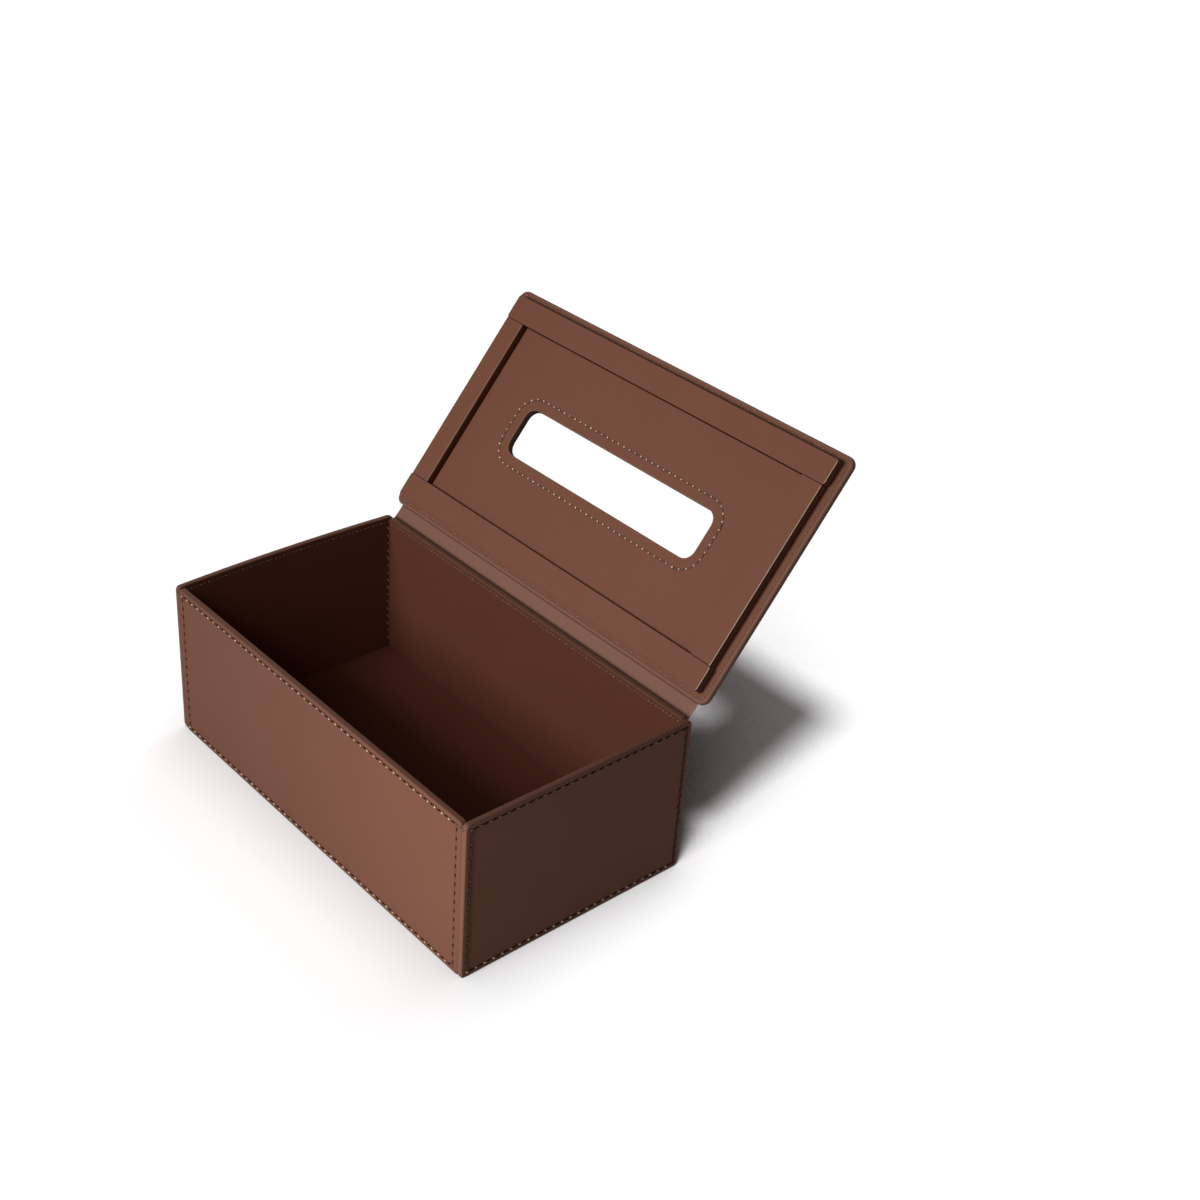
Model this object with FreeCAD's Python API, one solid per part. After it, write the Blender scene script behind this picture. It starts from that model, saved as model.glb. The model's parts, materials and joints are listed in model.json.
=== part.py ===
import FreeCAD, Part
import math
import os

Vector = FreeCAD.Vector

# Tissue box with a hinged lid, in millimetres.
# X runs along the box, Y from its front to its back and Z up from the table.
# The origin is the middle of the underside.

# The box
box_length = 250.0
box_width = 138.0
box_height = 90.0

# Layers of a sewn panel, from outside to inside
cover_thick = 0.9
wall_board_thick = 1.5
lining_thick = 0.8

# Rounding of a panel's corners and of its turned leather edges
panel_corner = 2.5
base_corner = 1.5
edge_round = 0.7

# The lid, its tissue slot and the rim that drops inside the walls
lid_board_thick = 2.0
lid_end_overhang = 1.8
lid_side_overhang = 1.2
lid_corner = 5.0
lid_edge_round = 1.3
lid_seat_gap = 0.2
slot_length = 147.0
slot_width = 28.0
slot_corner = 6.5
slot_edge_round = 0.5
rim_height = 5.3
rim_strip_width = 14.0
rim_wall_gap = 0.3
rim_side_inset = 0.7
rim_corner = 1.4
rim_edge_round = 0.5
lining_gap = 0.2

# The leather hinge strip: where it folds, how it is held and how far the lid stands open
strip_thick = 0.8
strip_end_inset = 3.4
strip_tongue = 9.0
strip_reach = 4.35
strip_leaves_below_top = 2.4
strip_bend = 2.0
strip_fold_gap = 0.3
lid_open_angle = 129.15

# Sizes that follow from the driving ones
wall_thick = cover_thick + wall_board_thick + lining_thick
inside_length = box_length - 2 * wall_thick
inside_width = box_width - 2 * wall_thick
lid_thick = cover_thick + lid_board_thick + cover_thick
lid_length = box_length + 2 * lid_end_overhang
lid_width = box_width + 2 * lid_side_overhang
lid_underside = box_height + lid_seat_gap
lid_top = lid_underside + lid_thick
lid_lining_face = lid_underside - lining_thick
lid_board_underside = lid_underside + cover_thick
lid_board_top = lid_board_underside + lid_board_thick
rim_length = inside_length - 2 * rim_wall_gap
rim_width = inside_width - 2 * rim_wall_gap
window_length = rim_length - 2 * rim_strip_width
window_width = rim_width - 2 * rim_strip_width
strip_length = box_length - 2 * strip_end_inset
fold_y = box_width / 2 + strip_reach
fold_z = lid_board_top - strip_thick / 2

# How close two heights must be to count as the same level
same_level = 1e-4


def upright_edges(shape):
    """Edges of a shape that run straight up."""
    return [edge for edge in shape.Edges
            if edge.BoundBox.ZLength > same_level
            and edge.BoundBox.DiagonalLength < edge.BoundBox.ZLength + same_level]


def plate(length, width, thick, corner, level=0.0):
    """Level plate with rounded corners, centred on Z, with its underside at the given level."""
    blank = Part.makeBox(length, width, thick, Vector(-length / 2, -width / 2, level))
    return blank.makeFillet(corner, upright_edges(blank))


def edges_at(shape, level):
    """Edges of a shape that lie wholly at one level."""
    return [edge for edge in shape.Edges
            if abs(edge.BoundBox.ZMin - level) < same_level and abs(edge.BoundBox.ZMax - level) < same_level]


def wrapped_panel(length, width, corner, face_round):
    """Board with a leather cover turned round its edges and a lining let in flush behind it.

    The leather's face lies at level 0, its edge rounded by the face round, and the lining's face
    lies at the wall's thickness.
    """
    core = (length - 2 * cover_thick, width - 2 * cover_thick)
    core_corner = corner - cover_thick
    lining_level = cover_thick + wall_board_thick
    block = plate(length, width, wall_thick, corner)
    if face_round:
        block = block.makeFillet(face_round, edges_at(block, 0))
    filling = plate(*core, wall_board_thick + lining_thick, core_corner, cover_thick)
    return {
        "cover": block.cut(filling),
        "board": plate(*core, wall_board_thick, core_corner, cover_thick),
        "lining": plate(*core, lining_thick, core_corner, lining_level),
    }


def stand(panel, heading, distance):
    """Panel stood upright on the table, its leather facing outwards at a distance from the middle.

    Heading 0 is the back wall, and headings turn anticlockwise seen from above.
    """
    upright = FreeCAD.Rotation(Vector(1, 0, 0), 90)
    turn = FreeCAD.Rotation(Vector(0, 0, 1), heading)
    outwards = turn.multVec(Vector(0, distance, 0))
    place = FreeCAD.Placement(outwards + Vector(0, 0, box_height / 2), turn.multiply(upright))
    for layer in panel.values():
        layer.Placement = place
    return panel


def walls():
    """The front and back between the two sides, which cover their ends."""
    long_wall = (inside_length, box_height, panel_corner, edge_round)
    side_wall = (box_width, box_height, panel_corner, edge_round)
    return {
        "back": stand(wrapped_panel(*long_wall), 0, box_width / 2),
        "left": stand(wrapped_panel(*side_wall), 90, box_length / 2),
        "front": stand(wrapped_panel(*long_wall), 180, box_width / 2),
        "right": stand(wrapped_panel(*side_wall), 270, box_length / 2),
    }


def lid_plate(inset, thick, level):
    """Plate of the lid's outline, drawn in by an inset. It overhangs the box all round."""
    return plate(lid_length - 2 * inset, lid_width - 2 * inset, thick, lid_corner - inset, level)


def slot_hole(margin, thick, level):
    """Block of the tissue slot's outline, widened by a margin all round."""
    return plate(slot_length + 2 * margin, slot_width + 2 * margin, thick, slot_corner + margin, level)


def slot_lip(skin):
    """Edges of the slot's outline in the lid's top face."""
    reach = slot_length / 2 + same_level
    return [edge for edge in edges_at(skin, lid_top)
            if edge.BoundBox.XMin > -reach and edge.BoundBox.XMax < reach]


def lid_leather(board, card, tongue):
    """Lid's leather: over the board, round its edges, in under the border and down through the slot."""
    skin = lid_plate(0, lid_thick, lid_underside)
    skin = skin.makeFillet(lid_edge_round, edges_at(skin, lid_underside) + edges_at(skin, lid_top))
    collar = slot_hole(cover_thick, lining_thick, lid_lining_face)
    opening = slot_hole(0, lid_thick + lining_thick, lid_lining_face)
    skin = skin.fuse(collar).cut(opening)
    skin = skin.makeFillet(slot_edge_round, slot_lip(skin))
    return skin.cut(board).cut(card).cut(tongue)


def rim_strip(length, width, x, y, corner):
    """Strip under the lid, centred at x and y: leather round a board, with its long edges rounded.

    Its upright corners are rounded too where a corner radius is given.
    """
    face = lid_underside - rim_height
    block = Part.makeBox(length, width, rim_height, Vector(-length / 2, -width / 2, face))
    long_edges = [edge for edge in edges_at(block, face) if edge.Length > rim_strip_width]
    block = block.makeFillet(rim_edge_round, long_edges)
    if corner:
        block = block.makeFillet(corner, upright_edges(block))
    core_length = length - 2 * cover_thick
    core_width = width - 2 * cover_thick
    core_height = rim_height - cover_thick
    low_corner = Vector(-core_length / 2, -core_width / 2, lid_underside - core_height)
    board = Part.makeBox(core_length, core_width, core_height, low_corner)
    strip = {"cover": block.cut(board), "board": board}
    for layer in strip.values():
        layer.translate(Vector(x, y, 0))
    return strip


def rim():
    """Long strips at the front and rear with the side strips butted between them, set in a little."""
    side_width = rim_strip_width - rim_side_inset
    side_x = window_length / 2 + side_width / 2
    long_y = window_width / 2 + rim_strip_width / 2
    return {
        "rim_front": rim_strip(rim_length, rim_strip_width, 0, -long_y, rim_corner),
        "rim_rear": rim_strip(rim_length, rim_strip_width, 0, long_y, rim_corner),
        "rim_left": rim_strip(side_width, window_width, -side_x, 0, 0),
        "rim_right": rim_strip(side_width, window_width, side_x, 0, 0),
    }


def fold_point(y, z):
    """Point of the hinge strip's section, in the plane of its left end."""
    return Vector(-strip_length / 2, y, z)


def wall_leaf(margin):
    """Hinge leaf on the back wall: up its outer face, round a bend and straight on to the fold.

    The leaf ends in a half round on the fold's axis. A margin thickens it on both sides.
    """
    half = strip_thick / 2 + margin
    middle = box_width / 2 + strip_thick / 2
    foot = box_height - strip_tongue
    bend = fold_point(middle + strip_bend, box_height - strip_leaves_below_top)
    fold = fold_point(fold_y, fold_z)
    away = fold - bend
    rise = math.atan2(away.z, away.y)
    end_angle = rise + math.acos(strip_bend / away.Length)

    def radial(angle):
        return Vector(0, math.cos(angle), math.sin(angle))

    def arc(centre, radius, start, end):
        angles = (start, (start + end) / 2, end)
        return Part.Arc(*[centre + radial(angle) * radius for angle in angles]).toShape()

    def line(start, end):
        return Part.LineSegment(start, end).toShape()

    wall_side = fold_point(middle - half, foot)
    outer_side = fold_point(middle + half, foot)
    side = radial(end_angle)
    section = Part.Wire([
        line(wall_side, bend - Vector(0, strip_bend + half, 0)),
        arc(bend, strip_bend + half, math.pi, end_angle),
        line(bend + side * (strip_bend + half), fold + side * half),
        arc(fold, half, end_angle, end_angle - math.pi),
        line(fold - side * half, bend + side * (strip_bend - half)),
        arc(bend, strip_bend - half, end_angle, math.pi),
        line(bend - Vector(0, strip_bend - half, 0), outer_side),
        line(outer_side, wall_side),
    ])
    return Part.Face(section).extrude(Vector(strip_length, 0, 0))


def lid_leaf():
    """Hinge leaf on the lid: a flat tongue from under the lid's leather, grooved where it folds."""
    start = box_width / 2 - strip_tongue
    corner = fold_point(start, fold_z - strip_thick / 2)
    sheet = Part.makeBox(strip_length, fold_y - start, strip_thick, corner)
    return sheet.cut(wall_leaf(strip_fold_gap))


def lid():
    """Every piece of the lid, closed on the box."""
    tongue = lid_leaf()
    blank = lid_plate(cover_thick, lid_board_thick, lid_board_underside)
    board = blank.cut(slot_hole(cover_thick, lid_board_thick, lid_board_underside))
    window = Part.makeBox(
        window_length, window_width, cover_thick,
        Vector(-window_length / 2, -window_width / 2, lid_underside),
    )
    card = window.cut(slot_hole(cover_thick, cover_thick, lid_underside))
    lining_length = window_length - 2 * lining_gap
    lining_width = window_width - 2 * lining_gap
    sheet = Part.makeBox(
        lining_length, lining_width, lining_thick,
        Vector(-lining_length / 2, -lining_width / 2, lid_lining_face),
    )
    pieces = {
        "lid_cover": lid_leather(board, card, tongue),
        "lid_board": board.cut(tongue),
        "lid_infill_card": card,
        "lid_lining": sheet.cut(slot_hole(cover_thick, lining_thick, lid_lining_face)),
        "hinge_lid_leaf": tongue,
    }
    for name, strip in rim().items():
        pieces.update({f"{name}_{layer}": shape for layer, shape in strip.items()})
    return pieces


def assemble():
    """All pieces by name, with the lid turned open about the hinge's fold."""
    pieces = {"hinge_wall_leaf": wall_leaf(0)}
    panels = walls()
    panels["base"] = wrapped_panel(inside_length, inside_width, base_corner, 0)
    for name, panel in panels.items():
        pieces.update({f"{name}_{layer}": shape for layer, shape in panel.items()})
    for name, shape in lid().items():
        shape.rotate(Vector(0, fold_y, fold_z), Vector(1, 0, 0), -lid_open_angle)
        pieces[name] = shape
    return pieces


os.makedirs("parts", exist_ok=True)
for node, shape in assemble().items():
    shape.exportStep(f"parts/{node}.step")
print("hinge fold axis at y", round(fold_y, 3), "z", round(fold_z, 3))
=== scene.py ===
"""Leather tissue box with its lid open: skins, linings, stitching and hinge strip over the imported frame.

Lengths are in metres. X runs along the box, Y from its front to its back and Z up from the table.
"""

import json
import logging
import math
from dataclasses import dataclass, field, replace
from enum import Enum
from functools import reduce

import bpy
import numpy as np
from mathutils import Matrix, Vector


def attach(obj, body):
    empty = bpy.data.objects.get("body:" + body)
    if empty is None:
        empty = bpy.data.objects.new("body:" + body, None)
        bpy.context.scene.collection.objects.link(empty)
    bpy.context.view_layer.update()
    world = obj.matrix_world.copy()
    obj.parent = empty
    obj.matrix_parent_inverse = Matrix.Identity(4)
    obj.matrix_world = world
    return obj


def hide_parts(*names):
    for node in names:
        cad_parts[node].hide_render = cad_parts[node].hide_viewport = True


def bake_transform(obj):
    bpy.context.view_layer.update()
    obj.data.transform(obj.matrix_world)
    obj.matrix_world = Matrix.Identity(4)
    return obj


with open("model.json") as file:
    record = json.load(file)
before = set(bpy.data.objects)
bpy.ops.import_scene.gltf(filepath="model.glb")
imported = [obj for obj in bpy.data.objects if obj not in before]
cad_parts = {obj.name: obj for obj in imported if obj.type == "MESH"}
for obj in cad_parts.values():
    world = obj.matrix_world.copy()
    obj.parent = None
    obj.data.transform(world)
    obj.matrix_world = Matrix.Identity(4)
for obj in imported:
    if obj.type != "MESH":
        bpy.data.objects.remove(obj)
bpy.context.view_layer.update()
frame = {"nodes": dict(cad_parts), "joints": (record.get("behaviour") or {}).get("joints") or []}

MM = 0.001
BOX_BODY = "box"
LID_BODY = "lid"
INSIDE_MARK = "_inner_"

# How close two points of the frame lie where they count as level
SAME_PLACE = 0.01 * MM

# Where the stitches' random draws start
PANEL_SEEDS = 10
INNER_SEED = 5
LID_SEED = 60
CORNER_SEED = 80

log = logging.getLogger("tissue_box")


# Sizes read from the frame


@dataclass(frozen=True)
class Extent:
    """Lowest and highest corner of some points."""

    low: np.ndarray
    high: np.ndarray

    @classmethod
    def of(cls, points: np.ndarray) -> "Extent":
        """Extent of points, one row each."""
        return cls(points.min(axis=0), points.max(axis=0))

    @property
    def size(self) -> np.ndarray:
        """Lengths along X, Y and Z."""
        return self.high - self.low

    @property
    def centre(self) -> np.ndarray:
        """Point halfway between the two corners."""
        return (self.low + self.high) / 2


def node_points(node: str) -> np.ndarray:
    """Points of a frame node where it lies at rest.

    Args:
        node: the node's name.

    Returns:
        One row of X, Y and Z for each point.
    """
    vertices = frame["nodes"][node].data.vertices
    flat = np.empty(len(vertices) * 3, np.float32)
    vertices.foreach_get("co", flat)
    return flat.reshape(-1, 3).astype(float)


@dataclass(frozen=True)
class LidHinge:
    """Fold line of the lid, parallel to X, and the turn that shuts the lid from rest."""

    fold: np.ndarray
    shutting: float

    @classmethod
    def from_frame(cls) -> "LidHinge":
        """Hinge of the frame's only joint, which shuts the lid at its upper limit."""
        joint = frame["joints"][0]
        return cls(np.array(joint["pos_m"], float), math.radians(joint["range_deg"][1]))

    def turned(self, points: np.ndarray, angle: float) -> np.ndarray:
        """Points turned about the fold line.

        Args:
            points: rows of X, Y and Z.
            angle: the turn about +X, in radians.

        Returns:
            The turned points, in the same shape.
        """
        cosine, sine = math.cos(angle), math.sin(angle)
        x, y, z = np.moveaxis(points - self.fold, -1, 0)
        return np.stack([x, y * cosine - z * sine, y * sine + z * cosine], axis=-1) + self.fold

    def shut(self, points: np.ndarray) -> np.ndarray:
        """Points of the lid at rest, moved to where they lie when it is shut."""
        return self.turned(points, self.shutting)

    def opened(self, points: np.ndarray) -> np.ndarray:
        """Points of the shut lid, moved to where they lie at rest."""
        return self.turned(points, -self.shutting)


# Surfaces as whole arrays


@dataclass
class Surface:
    """Points, quads and triangles of one piece, with a value per point for each thing its finish reads."""

    points: np.ndarray
    quads: np.ndarray
    triangles: np.ndarray = field(default_factory=lambda: np.empty((0, 3), int))
    values: dict[str, np.ndarray] = field(default_factory=dict)

    @classmethod
    def over_rings(cls, points: np.ndarray, closed: bool, **values: np.ndarray) -> "Surface":
        """Skin stretched over rings of points, welded at its ridges and poles.

        Args:
            points: an array of ring, point and X, Y, Z.
            closed: whether the last ring joins the first one.
            values: a value for each point, for each thing that the finish reads.

        Returns:
            The skin.
        """
        quads = ring_quads(*points.shape[:2], closed)
        carried = {name: value.reshape(-1) for name, value in values.items()}
        return cls(points.reshape(-1, 3), quads, values=carried).welded()

    def welded(self) -> "Surface":
        """Same surface with coincident points made one, so that ridges and poles are closed.

        Returns:
            A surface whose collapsed quads have become triangles or are gone.
        """
        grid = 1e-7
        keys = np.round(self.points / grid).astype(np.int64)
        _, first, index = np.unique(keys, axis=0, return_index=True, return_inverse=True)
        quads = index.reshape(-1)[self.quads]
        same = quads == np.roll(quads, -1, axis=1)
        crossed = (quads[:, 0] == quads[:, 2]) | (quads[:, 1] == quads[:, 3])
        joined = same.sum(axis=1)
        pinched = (joined == 1) & ~crossed
        lost = same[pinched].argmax(axis=1)
        keep = (lost[:, None] + np.arange(1, 4)) % 4
        triangles = np.take_along_axis(quads[pinched], keep, axis=1)
        values = {name: value[first] for name, value in self.values.items()}
        return Surface(self.points[first], quads[(joined == 0) & ~crossed], triangles, values)

    def with_more(self, other: "Surface") -> "Surface":
        """Both surfaces as one.

        Args:
            other: a surface that carries the same values.

        Returns:
            One surface, with this one's points first.
        """
        count = len(self.points)
        return Surface(
            np.vstack([self.points, other.points]), np.vstack([self.quads, other.quads + count]),
            np.vstack([self.triangles, other.triangles + count]),
            {name: np.concatenate([value, other.values[name]]) for name, value in self.values.items()},
        )

    def outward(self) -> "Surface":
        """Same surface with its faces turned outwards, told by the sign of the volume that they enclose.

        Returns:
            This surface, or one with each face's points in the other order.
        """
        a, b, c, d = np.moveaxis(self.points[self.quads], 1, 0)
        volume = np.einsum("ij,ij->", a, np.cross(b, c)) + np.einsum("ij,ij->", a, np.cross(c, d))
        e, f, g = np.moveaxis(self.points[self.triangles], 1, 0)
        volume += np.einsum("ij,ij->", e, np.cross(f, g))
        if volume < 0:
            return Surface(self.points, self.quads[:, ::-1], self.triangles[:, ::-1], self.values)
        return self


def ring_quads(rings: int, around: int, closed: bool) -> np.ndarray:
    """Quads between neighbouring rings of points.

    Args:
        rings: how many rings there are.
        around: how many points each ring has.
        closed: whether the last ring joins the first one.

    Returns:
        Four point numbers for each quad.
    """
    ring = np.arange(rings if closed else rings - 1)[:, None]
    step = np.arange(around)[None, :]
    here, ahead = ring * around, (ring + 1) % rings * around
    ahead_step = (step + 1) % around
    corners = [here + step, here + ahead_step, ahead + ahead_step, ahead + step]
    return np.stack(corners, axis=-1).reshape(-1, 4)


def run_along(line: np.ndarray) -> np.ndarray:
    """Length along a line at each of its points, from 0 at the first."""
    return np.concatenate([[0], np.cumsum(np.linalg.norm(np.diff(line, axis=0), axis=1))])


def on_line(at: np.ndarray, run: np.ndarray, line: np.ndarray) -> np.ndarray:
    """Points of a line in a plane at some lengths along it, given the length at each of its own points."""
    return np.stack([np.interp(at, run, line[:, i]) for i in (0, 1)], axis=-1)


def at_level(points: np.ndarray, level: float) -> np.ndarray:
    """Points of a plane with the same level added to each."""
    return np.hstack([points, np.full((len(points), 1), level)])


def flat_profile(insets: np.ndarray, level: float) -> np.ndarray:
    """Flat part of a profile: rows of inset and level, all at one level."""
    return np.stack([insets, np.full(len(insets), level)], axis=1)


@dataclass(frozen=True)
class Outline:
    """Rounded rectangle in a piece's plane, with its middle at the given centre."""

    half_x: float
    half_y: float
    corner: float
    centre: tuple[float, float] = (0.0, 0.0)

    def grown(self, margin: float) -> "Outline":
        """Outline moved out by a margin all round, or in by a negative one."""
        return Outline(self.half_x + margin, self.half_y + margin, max(self.corner + margin, 0), self.centre)

    @property
    def reach(self) -> float:
        """Distance from the outline to its middle ridge."""
        return min(self.half_x, self.half_y)


@dataclass(frozen=True)
class Sampling:
    """How many steps a ring takes along its X sides, its Y sides and each corner."""

    x_steps: int
    y_steps: int
    corner_steps: int = 5

    @classmethod
    def spaced(cls, outline: Outline, spacing: float) -> "Sampling":
        """Steps of about the given length along an outline's sides."""
        return cls(round(2 * outline.half_x / spacing), round(2 * outline.half_y / spacing))

    def directions(self) -> tuple[np.ndarray, np.ndarray]:
        """Where each point of a ring lies, for any size of ring.

        A point is the corners' inner rectangle times its first pair, plus the corner radius times its
        second pair. Along a side the first pair slides from corner to corner, and round a corner the
        second pair turns through a quarter circle.

        Returns:
            The first pairs and the second pairs, one row for each point.
        """
        along_x = np.linspace(-1, 1, self.x_steps + 1)
        along_y = np.linspace(-1, 1, self.y_steps + 1)
        turn = np.linspace(0, math.pi / 2, self.corner_steps + 1)[1:-1]
        rows = []
        for quarter, along in enumerate((along_x, along_y, along_x, along_y)):
            angle = (quarter - 1) * math.pi / 2
            across = np.round([math.cos(angle), math.sin(angle)])
            slide = np.array([-across[1], across[0]])
            side = across + np.outer(along, slide)
            corner = across + slide
            bend = np.stack([np.cos(angle + turn), np.sin(angle + turn)], axis=1)
            rows.append(np.hstack([side, np.tile(across, (len(along), 1))]))
            rows.append(np.hstack([np.tile(corner, (len(turn), 1)), bend]))
        table = np.vstack(rows)
        return table[:, :2], table[:, 2:]


@dataclass
class Rings:
    """Stack of rounded rectangles, each at its own level, that a skin is stretched over."""

    half_x: np.ndarray
    half_y: np.ndarray
    corner: np.ndarray
    centre_y: np.ndarray
    level: np.ndarray

    @classmethod
    def round_outline(cls, outline: Outline, profile: np.ndarray) -> "Rings":
        """Rings drawn in from one outline.

        Args:
            outline: the outline that the profile is carried along.
            profile: rows of inset and level.

        Returns:
            One ring for each row.
        """
        inset, level = np.asarray(profile, float).T
        return cls(
            outline.half_x - inset, outline.half_y - inset, np.maximum(outline.corner - inset, 0),
            np.full(len(inset), outline.centre[1]), level,
        )

    @classmethod
    def joined(cls, *stacks: "Rings") -> "Rings":
        """One stack made of several, in order."""
        names = ("half_x", "half_y", "corner", "centre_y", "level")
        return cls(*[np.concatenate([getattr(stack, name) for stack in stacks]) for name in names])

    def points(self, sampling: Sampling) -> np.ndarray:
        """Points of every ring: inner rectangle times slide, plus corner radius times bend.

        Args:
            sampling: how the rings are divided.

        Returns:
            An array of ring, point and X, Y, level.
        """
        slide, bend = sampling.directions()
        half_x = np.maximum(self.half_x, 0)[:, None]
        half_y = np.maximum(self.half_y, 0)[:, None]
        corner = np.minimum(self.corner[:, None], np.minimum(half_x, half_y))
        x = (half_x - corner) * slide[:, 0] + corner * bend[:, 0]
        y = (half_y - corner) * slide[:, 1] + corner * bend[:, 1] + self.centre_y[:, None]
        return np.stack([x, y, np.broadcast_to(self.level[:, None], x.shape)], axis=-1)


def quarter_round(
    inset: float, level: float, radius: float, rise: int, start: float, steps: int = 6,
) -> np.ndarray:
    """Quarter circle of a profile, tangent to the outline and to a face.

    Args:
        inset: inset of the circle's centre.
        level: level of the circle's centre.
        radius: the circle's radius.
        rise: plus one to turn towards higher levels, minus one to turn the other way.
        start: where the turn starts, in quarter turns from straight out of the outline.
        steps: how many steps the turn takes.

    Returns:
        Rows of inset and level.
    """
    angle = (start + rise * np.linspace(0, 1, steps + 1)) * math.pi / 2
    return np.stack([inset - radius * np.cos(angle), level + radius * np.sin(angle)], axis=1)


# Stitching


@dataclass(frozen=True)
class ThreadShape:
    """Waxed thread between two needle holes: a bead that bows up from one hole and down into the next."""

    radius: float = 0.38 * MM
    crown: float = 0.2 * MM
    sink: float = 0.55 * MM
    share: float = 0.56
    slant: float = 0.3 * MM
    pale: float = 0.0
    stations: int = 7
    sides: int = 6
    stretch_spread: tuple[float, float] = (0.94, 1.05)
    lift_spread: tuple[float, float] = (0.8, 1.2)
    lean_spread: tuple[float, float] = (0.6, 1.4)
    tint_spread: tuple[float, float] = (0.6, 1.0)

    def surface(self, start: np.ndarray, end: np.ndarray, normal: np.ndarray, seed: int) -> Surface:
        """Beads of thread, one for each span.

        Along a bead, with t from -1 to 1, its middle stands at crown less (crown + sink) times t to the
        fourth, its radius shrinks with the root of 1 - t to the sixth, and it slants across the line.

        Args:
            start: a point for each span, where the thread comes up.
            end: a point for each span, where the thread goes down.
            normal: the leather's outward direction at each span.
            seed: what the small differences between beads are drawn from.

        Returns:
            All the beads as one surface.
        """
        random = np.random.default_rng(seed)
        count = len(start)
        span = end - start
        length = np.linalg.norm(span, axis=1, keepdims=True)
        along = span / length
        side = np.cross(normal, along)
        t = np.linspace(-1, 1, self.stations)
        turn = np.arange(self.sides) * 2 * math.pi / self.sides
        stretch = self.share * random.uniform(*self.stretch_spread, (count, 1, 1, 1))
        lift = random.uniform(*self.lift_spread, (count, 1, 1, 1))
        lean = self.slant * random.uniform(*self.lean_spread, (count, 1, 1, 1))
        tint = self.pale * random.uniform(*self.tint_spread, (count, 1, 1))
        run = t[None, :, None, None]
        thick = self.radius * np.sqrt(1 - run**6)
        height = lift * self.crown - (lift * self.crown + self.sink) * run**4
        around = turn[None, None, :, None]
        middle = ((start + end) / 2)[:, None, None, :]
        points = (
            middle
            + along[:, None, None, :] * (length[:, None, None, :] / 2 * stretch * run)
            + normal[:, None, None, :] * (height + thick * np.cos(around))
            + side[:, None, None, :] * (lean * run + thick * np.sin(around))
        )
        quads = ring_quads(self.stations, self.sides, False)
        beads = quads[None] + (np.arange(count) * self.stations * self.sides)[:, None, None]
        ply = np.broadcast_to(run[..., 0] + around[..., 0] / math.pi, points.shape[:3])
        values = {"ply": ply.reshape(-1), "pale": np.broadcast_to(tint, ply.shape).reshape(-1)}
        return Surface(points.reshape(-1, 3), beads.reshape(-1, 4), values=values).welded()


THREAD = ThreadShape()
DASH = replace(THREAD, radius=0.3 * MM, share=0.5, slant=0.1 * MM, pale=0.06)
ZIGZAG = replace(THREAD, radius=0.5 * MM, share=1.1, slant=0.95 * MM, pale=0.06)
FAINT = replace(THREAD, radius=0.32 * MM, crown=0.14 * MM, share=0.68, pale=0.2)
KNOT = ThreadShape(radius=0.46 * MM, crown=0.24 * MM, sink=0.3 * MM, share=1.0, slant=0.0, pale=1.0)
SLOT_KNOT = replace(KNOT, radius=0.54 * MM, crown=0.3 * MM)
FAINT_KNOT = replace(KNOT, radius=0.34 * MM, pale=0.45)
BORDER_KNOT = replace(KNOT, radius=0.4 * MM, pale=0.75)
WHIP = replace(KNOT, radius=0.34 * MM, crown=0.1 * MM, sink=0.2 * MM, share=1.15, pale=0.28)
BRIDGE = replace(KNOT, radius=0.32 * MM, sink=0.55 * MM, pale=0.24)


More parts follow.
